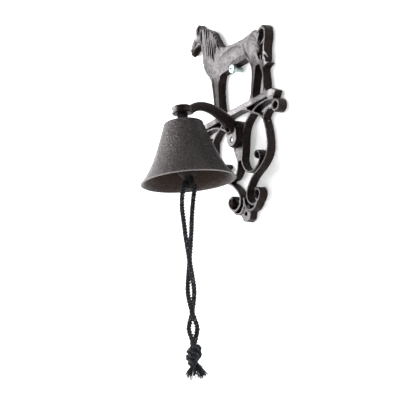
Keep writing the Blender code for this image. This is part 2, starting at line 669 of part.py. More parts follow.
def cord_route():
    """The cord from the knot up one side, through the lug and down the other side.

    Each station of the pair is (drop below the lug's hole, half spread, heading in degrees,
    sideways drift); the two halves lie opposite each other across the pair's middle.
    """
    stations = [(9.7, 6.3, -90, 1.2), (22.7, 5.9, -89, 3.3), (35.7, 4.8, -84, 4.1),
                (48.7, 3.9, -76, 4.7), (62.5, 3.0, -56, 5.3), (75.5, 2.4, -26, 5.9),
                (88, 2.5, 14, 6.4), (100.5, 2.9, 57, 6.9), (110.5, 2.5, 100, 7.3),
                (120, 2.3, 146, 7.6), (127.5, 2.9, 190, 7.9), (135, 3.7, 236, 8.1),
                (142.3, 2.9, 280, 8.3), (149.4, 2.3, 320, 8.5)]
    loop = [(6.4, -5.2), (5.4, -1.7), (3.0, 0.35), (0.0, 0.7)]
    front, back = [], []
    for drop, spread, heading, drift in stations:
        angle = math.radians(heading)
        out = Vector((math.cos(angle), math.sin(angle), 0)) * spread
        middle = AXIS + Vector((-0.55, -0.83, 0)) * drift + Vector((0, 0, LUG_Z - drop))
        front.append(middle + out)
        back.append(middle - out)
    over = [AXIS + Vector((0, -y, LUG_Z + z)) for y, z in loop]
    over += [AXIS + Vector((0, y, LUG_Z + z)) for y, z in loop[-2::-1]]
    return front[::-1] + over + back


def evenly(points, step):
    """Points a step apart along the smooth curve through the given ones."""
    fine = smooth(points, 12)
    result = [fine[0]]
    travelled = 0.0
    for before, after in zip(fine, fine[1:]):
        travelled += (after - before).length
        if travelled >= step * len(result):
            result.append(after)
    result[-1] = fine[-1]
    return result


def make_pull_cord():
    origin = AXIS + Vector((0, 0, LUG_Z))
    curve = bpy.data.curves.new("pull_cord", "CURVE")
    curve.dimensions = "3D"
    curve.bevel_depth = CORD_DIAMETER / 2 * MM
    curve.bevel_resolution = 2
    curve.use_fill_caps = True
    points = evenly(cord_route(), CORD_STEP)
    spline = curve.splines.new("POLY")
    spline.points.add(len(points) - 1)
    for target, point in zip(spline.points, points):
        target.co = (*((point - origin) * MM), 1.0)
    cord = bpy.data.objects.new("pull_cord", curve)
    cord.location = origin * MM
    cord.data.materials.append(make_material("pull_cord_finish", **CORD))
    bpy.context.collection.objects.link(cord)


def make_knot_and_fray():
    ends = cord_route()
    middle = (ends[0] + ends[-1]) / 2
    origin = AXIS + Vector((0, 0, LUG_Z))
    top = middle.z - GAP - CORD_DIAMETER * 0.2      # the halves run into it at a slant
    radius, height = KNOT_RADIUS, KNOT_HEIGHT
    knot = [(0, 0), (radius * 0.62, 0), (radius * 0.85, -height * 0.12),
            (radius, -height * 0.35), (radius, -height * 0.6), (radius * 0.8, -height * 0.85),
            (radius * 0.55, -height), (0, -height)]
    place = Vector((middle.x, middle.y, top))
    turned_object("cord_knot", knot, CORD, place, 24, origin)
    fray = [(0, 0), (radius * 0.5, 0), (radius * 0.75, -FRAY_HEIGHT * 0.35),
            (FRAY_RADIUS, -FRAY_HEIGHT), (0, -FRAY_HEIGHT)]
    place = Vector((middle.x, middle.y, top - height - GAP))
    turned_object("cord_frayed_ends", fray, CORD, place, 24, origin)


def main():
    clear_scene()
    make_wall_plate()
    make_bell_arm()
    make_pad_screws()
    make_bell()
    hex_nut("outer_crown_nut", BOSS_RISE - GAP, NUT_HEIGHT)
    washer("outer_crown_washer", BELL_TOP + GAP + WASHER_THICKNESS)
    washer("inner_crown_washer", INNER_WASHER_TOP)
    hex_nut("inner_crown_nut", INNER_NUT_TOP, INNER_NUT_HEIGHT)
    make_eye_bolt()
    make_clapper_link()
    make_clapper()
    make_wall_screw()
    make_pull_cord()
    make_knot_and_fray()


main()
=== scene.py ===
import math
import random

import bmesh
import bpy
from mathutils import Matrix, Vector


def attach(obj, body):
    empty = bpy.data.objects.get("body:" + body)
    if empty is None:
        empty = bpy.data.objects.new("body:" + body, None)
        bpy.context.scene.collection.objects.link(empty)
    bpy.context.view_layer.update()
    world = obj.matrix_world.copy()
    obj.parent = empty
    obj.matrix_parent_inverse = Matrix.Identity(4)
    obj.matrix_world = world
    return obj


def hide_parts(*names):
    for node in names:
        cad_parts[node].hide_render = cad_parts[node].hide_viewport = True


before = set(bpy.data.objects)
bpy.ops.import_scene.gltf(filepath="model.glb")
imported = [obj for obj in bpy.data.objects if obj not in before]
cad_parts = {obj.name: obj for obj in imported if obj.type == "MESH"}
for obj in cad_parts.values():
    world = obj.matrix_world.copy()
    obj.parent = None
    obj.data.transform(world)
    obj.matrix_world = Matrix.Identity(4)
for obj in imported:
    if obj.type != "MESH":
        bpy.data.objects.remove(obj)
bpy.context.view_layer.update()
mm = 0.001
random.seed(7)

bellAxis = Vector((0.0, -71.0, 0.0))      # the bell's own axis
frontFace = -9.0                          # the plate's front, the wall being y = 0
groundTop = 29.0                          # top of the bar under the horse
upAxis = Vector((0, 0, 1))


# Camera, and the lamps' maker

cameraView = {"place": (616.8, -468.7, -220.6), "right": (0.53397, 0.84049, -0.09198),
              "up": (0.22008, -0.03313, 0.97492), "lens": 72.0}


def makeCamera(view):
    camData = bpy.data.cameras.new("camera")
    camData.lens = view["lens"]
    camData.sensor_width = 36.0
    camData.clip_start = 0.01
    cam = bpy.data.objects.new("camera", camData)
    bpy.context.scene.collection.objects.link(cam)
    right, up = Vector(view["right"]).normalized(), Vector(view["up"]).normalized()
    turn = Matrix((right, up, right.cross(up))).transposed().to_4x4()
    cam.matrix_world = Matrix.Translation(Vector(view["place"]) * mm) @ turn
    bpy.context.scene.camera = cam


def makeLight(name, place, aim, size, power):
    lamp = bpy.data.lights.new(name, "AREA")
    lamp.shape = "RECTANGLE"
    lamp.size, lamp.size_y = size
    lamp.energy = power
    obj = bpy.data.objects.new(name, lamp)
    bpy.context.scene.collection.objects.link(obj)
    obj.location = place
    obj.rotation_mode = "QUATERNION"
    obj.rotation_quaternion = (Vector(aim) - Vector(place)).to_track_quat("-Z", "Y")


makeCamera(cameraView)
print("camera placed")


# Helpers for meshes, in millimetres until they are finished.

def linkMesh(name, mesh):
    obj = bpy.data.objects.new(name, mesh)
    bpy.context.scene.collection.objects.link(obj)
    return obj


def bakeModifiers(obj):
    graph = bpy.context.evaluated_depsgraph_get()
    baked = bpy.data.meshes.new_from_object(obj.evaluated_get(graph), depsgraph=graph)
    old = obj.data
    obj.modifiers.clear()
    obj.data = baked
    bpy.data.meshes.remove(old)


def shadeSmooth(obj, angle=40):
    obj.data.shade_smooth()
    obj.data.set_sharp_from_angle(angle=math.radians(angle))


def finishPiece(bm, name, body, material, cadNodes, angle=40):
    bmesh.ops.recalc_face_normals(bm, faces=bm.faces)
    bmesh.ops.scale(bm, vec=(mm, mm, mm), verts=bm.verts)
    mesh = bpy.data.meshes.new(name)
    bm.to_mesh(mesh)
    bm.free()
    obj = linkMesh(name, mesh)
    obj.data.materials.append(material)
    shadeSmooth(obj, angle)
    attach(obj, body)
    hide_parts(*cadNodes)
    return obj


def cadCopy(node):
    bm = bmesh.new()
    bm.from_mesh(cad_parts[node].data)
    bmesh.ops.scale(bm, vec=(1000, 1000, 1000), verts=bm.verts)
    bmesh.ops.remove_doubles(bm, verts=bm.verts, dist=0.002)
    return bm


def meltTogether(obj, voxel, passes):
    melt = obj.modifiers.new("melt", "REMESH")
    melt.mode = "VOXEL"
    melt.voxel_size = voxel * mm
    melt.use_smooth_shade = True
    soften = obj.modifiers.new("soften", "SMOOTH")
    soften.factor = 0.5
    soften.iterations = passes
    bakeModifiers(obj)


def addMesh(bm, mesh):
    bm.from_mesh(mesh)
    bpy.data.meshes.remove(mesh)


def addCurve(bm, curve):                # turns a finished curve into part of a mesh
    holder = bpy.data.objects.new("line", curve)
    bpy.context.scene.collection.objects.link(holder)
    addMesh(bm, bpy.data.meshes.new_from_object(holder))
    bpy.data.objects.remove(holder)
    bpy.data.curves.remove(curve)


def newCurve(name, radius, resolution, capped=True):
    curve = bpy.data.curves.new(name, "CURVE")
    curve.dimensions = "3D"
    curve.bevel_depth = radius
    curve.bevel_resolution = resolution
    curve.use_fill_caps = capped
    return curve


def addTube(bm, points, radii, sides=2, closed=False, smoothLine=True):
    line = newCurve("line", 1.0, sides, not closed)
    line.resolution_u = 6
    spline = line.splines.new("NURBS" if smoothLine else "POLY")
    spline.points.add(len(points) - 1)
    for i, (target, point) in enumerate(zip(spline.points, points)):
        target.co = (*point, 1.0)
        share = i / max(len(points) - 1, 1) * (len(radii) - 1)
        low = min(int(share), len(radii) - 2) if len(radii) > 1 else 0
        target.radius = (radii[low] + (radii[low + 1] - radii[low]) * (share - low)
                         if len(radii) > 1 else radii[0])
    spline.use_cyclic_u = closed
    if smoothLine:
        spline.order_u = 4
        spline.use_endpoint_u = not closed
    addCurve(bm, line)


def addBlob(bm, x, z, reachX, reachZ, proud, tilt=0, depth=5.0, front=frontFace):
    made = bmesh.ops.create_uvsphere(bm, u_segments=32, v_segments=20, radius=1.0)["verts"]
    bmesh.ops.scale(bm, vec=(reachX, depth, reachZ), verts=made)
    bmesh.ops.rotate(bm, cent=(0, 0, 0), matrix=Matrix.Rotation(math.radians(tilt), 3, "Y"),
                     verts=made)
    bmesh.ops.translate(bm, vec=(x, front + depth - proud, z), verts=made)


def spunMesh(profile, center, steps):
    bm = bmesh.new()
    verts = [bm.verts.new((r, 0, z)) for r, z in profile]
    edges = [bm.edges.new(pair) for pair in zip(verts, verts[1:])]
    if profile[0][0] > 1e-6:
        edges.append(bm.edges.new((verts[-1], verts[0])))
    bmesh.ops.spin(bm, geom=verts + edges, cent=(0, 0, 0), axis=upAxis,
                   angle=2 * math.pi, steps=steps, use_merge=True)
    bmesh.ops.remove_doubles(bm, verts=bm.verts, dist=1e-4)
    bmesh.ops.translate(bm, vec=center, verts=bm.verts)
    return bm


def circleAngles(count, shift=0.0):
    return [2 * math.pi * (k + shift) / count for k in range(count)]


# Node helpers for materials.

def newMaterial(name, baseColor, metallic, roughness):
    material = bpy.data.materials.new(name)
    material.use_nodes = True
    shader = material.node_tree.nodes["Principled BSDF"]
    shader.inputs["Base Color"].default_value = (*baseColor, 1.0)
    shader.inputs["Metallic"].default_value = metallic
    shader.inputs["Roughness"].default_value = roughness
    return material, material.node_tree, shader


def addNoise(tree, scale, detail, rough):
    noise = tree.nodes.new("ShaderNodeTexNoise")
    noise.inputs["Scale"].default_value = scale
    noise.inputs["Detail"].default_value = detail
    noise.inputs["Roughness"].default_value = rough
    place = tree.nodes.new("ShaderNodeTexCoord").outputs["Object"]
    tree.links.new(place, noise.inputs["Vector"])
    return noise.outputs["Fac"]


def addMath(tree, operation, first, second):
    node = tree.nodes.new("ShaderNodeMath")
    node.operation = operation
    for socket, value in zip(node.inputs, (first, second)):
        if isinstance(value, (int, float)):
            socket.default_value = value
        else:
            tree.links.new(value, socket)
    return node.outputs[0]


def readAttribute(tree, name):
    node = tree.nodes.new("ShaderNodeAttribute")
    node.attribute_name = name
    return node.outputs["Fac"]


def addRamp(tree, source, stops):
    ramp = tree.nodes.new("ShaderNodeValToRGB")
    while len(ramp.color_ramp.elements) < len(stops):
        ramp.color_ramp.elements.new(0.5)
    for element, (place, color) in zip(ramp.color_ramp.elements, stops):
        element.position = place
        element.color = (*color, 1.0) if len(color) == 3 else color
    tree.links.new(source, ramp.inputs["Fac"])
    return ramp.outputs["Color"]


def addMix(tree, factor, first, second, blend="MIX"):
    mix = tree.nodes.new("ShaderNodeMix")
    mix.data_type = "RGBA"
    mix.blend_type = blend
    for socket, value in ((mix.inputs["Factor"], factor), (mix.inputs[6], first),
                          (mix.inputs[7], second)):
        if isinstance(value, (int, float)):
            socket.default_value = value
        elif isinstance(value, tuple):
            socket.default_value = (*value, 1.0)
        else:
            tree.links.new(value, socket)
    return mix.outputs[2]


def addBump(tree, shader, layers):
    last = None
    for source, strength, distance in layers:
        bump = tree.nodes.new("ShaderNodeBump")
        bump.inputs["Strength"].default_value = strength
        bump.inputs["Distance"].default_value = distance * mm
        tree.links.new(source, bump.inputs["Height"])
        if last is not None:
            tree.links.new(last, bump.inputs["Normal"])
        last = bump.outputs["Normal"]
    tree.links.new(last, shader.inputs["Normal"])


def grey(value):
    return (value, value, value)


# Cast-iron looks. Faces turned to the front, where the key light falls, take the lighter front
# colour and the sides take the dark wall colour. This is painted light and painted shade; on the
# plate's raised fronts it also stands for rubbed metal.
castLook = {"wall": (0.0115, 0.0062, 0.0050), "shadeTone": (0.0100, 0.0060, 0.0055),
            "crest": (0.088, 0.078, 0.084),
            "pitAndHollowShade": (0.016, 0.011, 0.0105), "worn": (0.38, 0.36, 0.375),
            "turnFrom": 0.55, "turnTo": 0.92, "metallic": 0.25, "roughness": 0.34,
            "grain": 620, "grainHeight": 0.42, "swell": 190, "swellHeight": 0.6, "clouds": 0.32,
            "gloss": 0.4}
armLook = {"wall": (0.0125, 0.0068, 0.0058), "shadeTone": (0.0125, 0.0068, 0.0058),
           "crest": (0.120, 0.108, 0.114),
           "pitAndHollowShade": (0.006, 0.004, 0.004), "worn": (0.17, 0.155, 0.16),
           "turnFrom": 0.82, "turnTo": 0.99, "metallic": 0.2, "roughness": 0.4,
           "grain": 850, "grainHeight": 0.24, "swell": 200, "swellHeight": 0.35, "clouds": 0.2,
           "gloss": 0.5}
# The bell's colour runs from the lighter front to the dark sides: painted light and painted shade
# from the key light.
bellLook = {"wall": (0.0095, 0.0062, 0.0055), "shadeTone": (0.030, 0.0205, 0.0170),
            "crest": (0.076, 0.062, 0.064),
            "pitAndHollowShade": (0.008, 0.006, 0.006), "worn": (0.34, 0.31, 0.30),
            "turnFrom": -0.15, "turnTo": 0.98, "metallic": 0.35, "roughness": 0.29,
            "grain": 430, "grainHeight": 1.7, "swell": 150, "swellHeight": 0.8,
            "clouds": 0.12, "gloss": 0.5}
# A near-black, duller copy of the bell's iron for the clapper: painted shade, as the clapper
# hangs inside the bell.
clapperShadeLook = dict(bellLook, wall=(0.005, 0.0036, 0.0036), crest=(0.007, 0.005, 0.005),
                   worn=(0.05, 0.045, 0.045), metallic=0.1, roughness=0.55, gloss=0.22)


def makeCastIron(name, look):
    material, tree, shader = newMaterial(name, look["crest"], look["metallic"],
                                         look["roughness"])
    coords = tree.nodes.new("ShaderNodeTexCoord")
    grain = addNoise(tree, look["grain"], 5, 0.72)
    fine = addNoise(tree, look["grain"] * 2.3, 3, 0.7)
    swell = addNoise(tree, look["swell"], 3, 0.5)
    split = tree.nodes.new("ShaderNodeSeparateXYZ")
    tree.links.new(coords.outputs["Normal"], split.inputs[0])
    # Painted light: lighter on faces turned to the front towards the key light, painted shade on
    # the sides; on the plate also rubbed metal on the raised fronts. The specular level follows
    # the same facing.
    facing = addMath(tree, "MULTIPLY", split.outputs["Y"], -1.0)
    litFaceMask = addRamp(tree, facing, [(look["turnFrom"], grey(0.0)), (look["turnTo"], grey(1.0))])
    tone = addMix(tree, litFaceMask, look["wall"], look["crest"])
    pits = addRamp(tree, grain, [(0.38, grey(1.0)), (0.49, grey(0.0))])
    pitted = addMix(tree, pits, tone, look["pitAndHollowShade"])
    specks = addRamp(tree, fine, [(0.36, grey(0.45)), (0.50, grey(1.0)), (0.64, grey(2.1))])
    speckled = addMix(tree, 1.0, pitted, specks, "MULTIPLY")
    clouds = addRamp(tree, swell, [(0.36, grey(1 - look["clouds"])),
                                   (0.62, grey(1 + 0.8 * look["clouds"]))])
    shade = addMix(tree, 1.0, speckled, clouds, "MULTIPLY")
    edge = tree.nodes.new("ShaderNodeNewGeometry").outputs["Pointiness"]
    wear = addRamp(tree, edge, [(0.535, grey(0.0)), (0.60, grey(0.75))])
    rubbed = addMix(tree, wear, shade, look["worn"])
    # Painted shade: hollows and creases are darkened to the pit colour, which also colours the
    # grain's pits.
    hollow = addRamp(tree, edge, [(0.43, grey(1.0)), (0.493, grey(0.0))])
    shadedHollows = addMix(tree, hollow, rubbed, look["pitAndHollowShade"])
    # Brighter patches on the front faces: rubbed metal and painted highlight.
    brightMetal = addMix(tree, 1.0, look["worn"], specks, "MULTIPLY")
    onFront = addMath(tree, "MULTIPLY", readAttribute(tree, "polishAndHighlight"), litFaceMask)
    brightened = addMix(tree, onFront, shadedHollows, brightMetal)
    # Painted shade from the point attribute: the colour goes to the dark shade colour and the
    # specular drops.
    shadeTone = readAttribute(tree, "paintedShade")
    final = addMix(tree, shadeTone, brightened, look["shadeTone"])
    tree.links.new(final, shader.inputs["Base Color"])
    shine = addRamp(tree, facing, [(look["turnFrom"], grey(0.14)),
                                   (look["turnTo"], grey(look["gloss"]))])
    dulled = addMix(tree, shadeTone, shine, grey(0.03))
    tree.links.new(dulled, shader.inputs["Specular IOR Level"])
    rough = addRamp(tree, grain, [(0.3, grey(look["roughness"] + 0.2)),
                                  (0.6, grey(look["roughness"] - 0.06))])
    tree.links.new(rough, shader.inputs["Roughness"])
    addBump(tree, shader, [(swell, 0.5, look["swellHeight"]),
                           (grain, 0.75, look["grainHeight"])])
    return material


def makePlainMetal(name, color, roughness, streak, metallic=1.0, gloss=0.5):
    material, tree, shader = newMaterial(name, color, metallic, roughness)
    shader.inputs["Specular IOR Level"].default_value = gloss
    fine = addNoise(tree, streak, 4, 0.6)
    broad = addNoise(tree, streak * 0.12, 3, 0.5)
    tone = addMix(tree, broad, tuple(c * 0.72 for c in color),
                  tuple(min(c * 1.2, 1) for c in color))
    tree.links.new(tone, shader.inputs["Base Color"])
    rough = addRamp(tree, fine, [(0.3, grey(roughness - 0.08)), (0.7, grey(roughness + 0.14))])
    tree.links.new(rough, shader.inputs["Roughness"])
    addBump(tree, shader, [(fine, 0.35, 0.03)])
    return material


def makeCordFibre(name, color, lighter):
    material, tree, shader = newMaterial(name, color, 0.0, 0.62)
    fine = addNoise(tree, 5200, 3, 0.7)
    broad = addNoise(tree, 420, 3, 0.5)
    tone = addRamp(tree, fine, [(0.35, tuple(c * 0.45 for c in color)), (0.55, color),
                                (0.74, lighter)])
    shade = addMix(tree, broad, tone, tuple(c * 0.8 for c in lighter))
    final = addMix(tree, 0.35, tone, shade)
    tree.links.new(final, shader.inputs["Base Color"])
    shader.inputs["Sheen Weight"].default_value = 0.05
    shader.inputs["Specular IOR Level"].default_value = 0.3
    shader.inputs["Sheen Roughness"].default_value = 0.45
    addBump(tree, shader, [(fine, 0.7, 0.09)])
    return material


plateIron = makeCastIron("plateIron", castLook)
armIron = makeCastIron("armIron", armLook)
bellIron = makeCastIron("bellIron", bellLook)
clapperIronShaded = makeCastIron("clapperIronShaded", clapperShadeLook)
zinc = makePlainMetal("zincPlate", (0.40, 0.49, 0.48), 0.34, 2600)
dullZinc = makePlainMetal("dullZinc", (0.30, 0.30, 0.31), 0.45, 2400)
# Near-black steel with little gloss for the bolt, link, nuts and washers: a dark steel finish,
# darkened further as painted shade below the arm's boss.
darkSteelShaded = makePlainMetal("darkSteelShaded", (0.010, 0.0082, 0.008), 0.6, 2200, 0.25, 0.12)
cordBlack = makeCordFibre("cordBlack", (0.0035, 0.0050, 0.0078), (0.022, 0.030, 0.042))
print("materials made")


# Pull cord: one rope of two strands through the clapper's lug, its halves twisted together.
# A station is the drop below the lug, the half spread, its heading in degrees and the drift.

cordShape = {"diameter": 3.7, "lugZ": -51.5, "lean": Vector((-0.6, -0.8, 0)),
             "drift": Vector((-0.55, -0.83, 0)), "strandPitch": 5.8, "yarnPitch": 4.6,
             "step": 0.75}
ropeShape = {"strands": 2, "yarns": 4, "strandOut": 0.39, "yarnOut": 0.190,
             "yarnRadius": 0.168, "flatten": 1.15}     # shares of the rope's diameter
cordStations = [(9.7, 6.3, -90, 1.2), (22.7, 5.9, -89, 3.3), (35.7, 4.8, -84, 4.1),
                (48.7, 3.9, -76, 4.7), (62.5, 3.0, -56, 5.3), (75.5, 2.4, -26, 5.9),
                (88, 2.5, 14, 6.4), (100.5, 2.9, 57, 6.9), (110.5, 2.5, 100, 7.3),
                (120, 2.3, 146, 7.6), (127.5, 2.9, 190, 7.9), (135, 3.7, 236, 8.1),
                (142.3, 2.9, 280, 8.3), (149.4, 2.3, 320, 8.5)]
cordLoop = [(6.4, -5.2), (5.4, -1.7), (3.0, 0.35), (0.0, 0.7)]


def smoothLine(points, steps):
    count = len(points)
    result = []
    for i in range(count - 1):
        before, start, end, after = (Vector(points[min(max(j, 0), count - 1)])
                                     for j in (i - 1, i, i + 1, i + 2))
        for k in range(steps):
            t = k / steps
            result.append(0.5 * (2 * start + (end - before) * t
                                 + (2 * before - 5 * start + 4 * end - after) * t ** 2
                                 + (3 * start - before - 3 * end + after) * t ** 3))
    result.append(Vector(points[-1]))
    return result


def cordRoute():
    hole = bellAxis + upAxis * cordShape["lugZ"]
    front, back = [], []
    for drop, spread, heading, drift in cordStations:
        angle = math.radians(heading)
        out = Vector((math.cos(angle), math.sin(angle), 0)) * spread
        middle = hole + cordShape["drift"] * drift - upAxis * drop
        front.append(middle + out)
        back.append(middle - out)
    over = [hole + Vector((0, -y, z)) for y, z in cordLoop]
    over += [hole + Vector((0, y, z)) for y, z in cordLoop[-2::-1]]
    return front[::-1] + over + back


def resample(points, step):
    total = sum((b - a).length for a, b in zip(points, points[1:]))
    count = max(int(round(total / step)), 2)
    result, travelled, i = [points[0]], 0.0, 0
    for k in range(1, count):
        goal = total * k / count
        while travelled + (points[i + 1] - points[i]).length < goal:
            travelled += (points[i + 1] - points[i]).length
            i += 1
        share = (goal - travelled) / (points[i + 1] - points[i]).length
        result.append(points[i].lerp(points[i + 1], share))
    result.append(points[-1])
    return result


def turningFrames(points):
    frames = []
    along = (points[1] - points[0]).normalized()
    side = along.orthogonal().normalized()
    for i, point in enumerate(points):
        nearby = (points[min(i + 1, len(points) - 1)] - points[max(i - 1, 0)]).normalized()
        side = (along.rotation_difference(nearby) @ side).normalized()
        along = nearby
        frames.append((point, side, along.cross(side).normalized()))
    return frames


def layRope(bm, points, diameter, lay):
    strandPitch, yarnPitch, step = lay["strandPitch"], lay["yarnPitch"], lay["step"]
    frames = turningFrames(resample(points, step))
    strands, yarns = ropeShape["strands"], ropeShape["yarns"]
    strandOut = diameter * ropeShape["strandOut"]
    yarnOut = diameter * ropeShape["yarnOut"]
    curve = newCurve("rope", diameter * ropeShape["yarnRadius"], 1)
    for s in range(strands):
        for y in range(yarns):
            spline = curve.splines.new("POLY")
            spline.points.add(len(frames) - 1)
            for i, (point, side, other) in enumerate(frames):
                run = i * step
                turn = 2 * math.pi * (s / strands + run / strandPitch)
                out = side * math.cos(turn) + other * math.sin(turn)
                across = other * math.cos(turn) - side * math.sin(turn)
                own = 2 * math.pi * (y / yarns - run / yarnPitch)
                place = (point + out * (strandOut + yarnOut * math.cos(own))
                         + across * yarnOut * ropeShape["flatten"] * math.sin(own))
                spline.points[i].co = (*place, 1.0)
    addCurve(bm, curve)


def makeCord():
    route = smoothLine(cordRoute(), 12)
    bm = bmesh.new()
    layRope(bm, route, cordShape["diameter"], cordShape)
    cord = finishPiece(bm, "pullCord", "pull_cord", cordBlack, ["pull_cord"], 60)
    length = sum((b - a).length for a, b in zip(route, route[1:])) * mm
    return cord, route, length


knotShape = {"turns": 2.3, "steps": 44, "startAngle": -150, "radius": 4.7, "drop": 11.5,
             "start": 3.4, "lean": 2.6, "rope": 4.8, "core": 4.2, "strandPitch": 7.0,
             "yarnPitch": 5.0, "step": 0.8}
knotCore = [(2.3, 1.2), (1.8, -4), (1.5, -10), (2.1, -15), (2.4, -18.8)]  # out and up


def cordEnd(route):
    return (route[0] + route[-1]) / 2 + cordShape["lean"]


def makeKnot(route):
    top, knot = cordEnd(route), knotShape
    bm = bmesh.new()
    wrap = []
    for k in range(knot["steps"] + 1):
        share = k / knot["steps"]
        angle = math.radians(knot["startAngle"]) + 2 * math.pi * knot["turns"] * share
        radius = knot["radius"] * (0.55 + 0.45 * math.sin(math.pi * min(share * 1.1, 1)) ** 0.5)
        lean = knot["lean"] * math.sin(angle + 0.9)
        wrap.append(top + Vector((radius * math.cos(angle), radius * math.sin(angle),
                                  -knot["start"] - knot["drop"] * share + lean)))
    layRope(bm, smoothLine(wrap, 5), knot["rope"], knot)
    for sign in (1, -1):
        out = (route[0] - route[-1]).normalized() * sign
        core = [top + out * across + upAxis * up for across, up in knotCore]
        layRope(bm, smoothLine(core, 6), knot["core"], knot)
    return finishPiece(bm, "cordKnot", "pull_cord", cordBlack, ["cord_knot"], 60)


frayShape = {"fibres": 130, "root": 3.4, "reach": 10.4, "drop": 18.0, "thickness": 0.36,
             "start": 16.5, "straight": 1.5, "turn": 0.7, "stray": 0.6,
             "taper": (1.5, 1.3, 1.1, 0.7)}


def makeFray(route):
    top, fray = cordEnd(route), frayShape
    bm = bmesh.new()
    curve = newCurve("fray", 1.0, 0)
    curve.resolution_u = 4
    for k in range(fray["fibres"]):
        angle = 2 * math.pi * random.random()
        root = fray["root"] * math.sqrt(random.random())
        reach = fray["reach"] * (0.25 + 0.72 * random.random() ** 0.8)
        drop = fray["drop"] * (0.5 + 0.5 * random.random()) * (1.08 - 0.4 * reach / 10)
        bend = angle + random.uniform(-fray["turn"], fray["turn"])
        start = top + Vector((root * math.cos(angle), root * math.sin(angle), -fray["start"]))
        middle = start + Vector((reach * 0.42 * math.cos(angle), reach * 0.42 * math.sin(angle),
                                 -drop * 0.5))
        end = start + Vector((reach * math.cos(bend), reach * math.sin(bend), -drop))
        end += Vector((random.uniform(-fray["stray"], fray["stray"]),
                       random.uniform(-fray["stray"], fray["stray"]), 0))
        places = start, start - upAxis * fray["straight"], middle, end
        spline = curve.splines.new("NURBS")
        spline.points.add(3)
        for target, place, radius in zip(spline.points, places, fray["taper"]):
            target.co = (*place, 1.0)
            target.radius = fray["thickness"] * radius
        spline.order_u = 4
        spline.use_endpoint_u = True
    addCurve(bm, curve)
    return finishPiece(bm, "cordFray", "pull_cord", cordBlack, ["cord_frayed_ends"], 60)


pullCord, cordLine, cordLength = makeCord()
cordKnot = makeKnot(cordLine)
cordFray = makeFray(cordLine)
print("cord laid, length", round(cordLength, 4))


# Wall plate: the casting with the horse's relief.

horseSize = {"length": 125.5, "height": 111.8}


def horsePoint(shareX, shareZ, y=frontFace):
    return Vector((shareX * horseSize["length"], y, groundTop + shareZ * horseSize["height"]))


muscles = [  # share across, share up, half sizes, how proud, tilt, depth
    (0.020, 0.485, 34, 12, 1.3, 2, 5.0), (-0.262, 0.530, 12, 17, 1.5, -14, 5.0),
    (-0.300, 0.700, 8, 18, 0.9, -16, 5.0), (-0.475, 0.838, 12.5, 4.2, 1.0, -36, 4.0),
    (-0.405, 0.858, 6.0, 6.0, 1.3, 0, 4.0), (-0.536, 0.764, 3.7, 3.5, -0.8, -30, 4.0),
    (-0.492, 0.778, 9.0, 3.6, -0.7, -36, 4.0), (0.315, 0.455, 12, 16, 1.5, 8, 5.0),
    (0.300, 0.350, 5.5, 10, 1.0, -14, 4.0), (-0.225, 0.400, 8, 8, 0.8, 0, 4.0),
    (-0.440, 0.895, 1.1, 1.0, 1.9, 0, 3.0), (-0.452, 0.868, 1.6, 0.9, 1.5, 20, 3.0),
    (-0.545, 0.792, 0.9, 1.1, 0.7, 0, 3.0),
]
ridges = [  # radii, then points in shares
    ((2.2, 2.0, 1.7, 1.9), [(-0.262, 0.40), (-0.252, 0.26), (-0.255, 0.14), (-0.257, 0.02)]),
    ((1.5, 1.3, 1.2, 1.5), [(-0.168, 0.39), (-0.190, 0.26), (-0.199, 0.14), (-0.196, 0.02)]),
    ((1.0, 1.9, 1.9, 1.7, 1.4, 1.3), [(0.199, 0.565), (0.204, 0.483), (0.207, 0.423),
                                      (0.275, 0.333), (0.300, 0.240), (0.262, 0.130),
                                      (0.236, 0.02)]),
    ((1.2, 1.5, 1.3, 1.5), [(0.405, 0.33), (0.410, 0.22), (0.412, 0.12), (0.402, 0.02)]),
    ((0.8, 1.3, 1.2, 0.5), [(-0.115, 0.625), (-0.160, 0.560), (-0.175, 0.490),
                            (-0.165, 0.420)]),
]


def addRidges(bm, lines, sunk):
    for radii, line in lines:
        addTube(bm, [horsePoint(a, b, frontFace + sunk) for a, b in line], radii, 3)


def addHorseRelief(bm):
    for shareX, shareZ, reachX, reachZ, proud, tilt, depth in muscles:
        place = horsePoint(shareX, shareZ)
        addBlob(bm, place.x, place.z, reachX, reachZ, proud, tilt, depth)
    addRidges(bm, ridges, 0.75)


maneLook = {"thickness": 1.42, "lift": 0.75}
maneStrands = [
    [(-0.318, 0.915), (-0.308, 0.850), (-0.325, 0.790), (-0.358, 0.745), (-0.352, 0.690)],
    [(-0.295, 0.900), (-0.290, 0.810), (-0.322, 0.750), (-0.342, 0.700), (-0.338, 0.645)],
    [(-0.262, 0.885), (-0.272, 0.800), (-0.305, 0.725), (-0.322, 0.660), (-0.312, 0.600)],
    [(-0.235, 0.872), (-0.238, 0.790), (-0.282, 0.715), (-0.300, 0.650), (-0.305, 0.610)],
    [(-0.206, 0.852), (-0.212, 0.773), (-0.255, 0.705), (-0.277, 0.640), (-0.272, 0.570)],
    [(-0.188, 0.825), (-0.190, 0.750), (-0.226, 0.690), (-0.254, 0.620), (-0.240, 0.560)],
    [(-0.168, 0.795), (-0.172, 0.720), (-0.205, 0.655), (-0.222, 0.590), (-0.208, 0.530)],
    [(-0.148, 0.755), (-0.150, 0.700), (-0.176, 0.650), (-0.186, 0.595)],
    [(-0.132, 0.720), (-0.140, 0.668), (-0.132, 0.630), (-0.108, 0.605)],
    [(-0.345, 0.905), (-0.352, 0.850), (-0.372, 0.800), (-0.366, 0.765)],
    [(-0.385, 0.930), (-0.412, 0.905), (-0.420, 0.870), (-0.408, 0.845)],
    [(-0.395, 0.945), (-0.425, 0.925), (-0.437, 0.895), (-0.432, 0.865)],
]


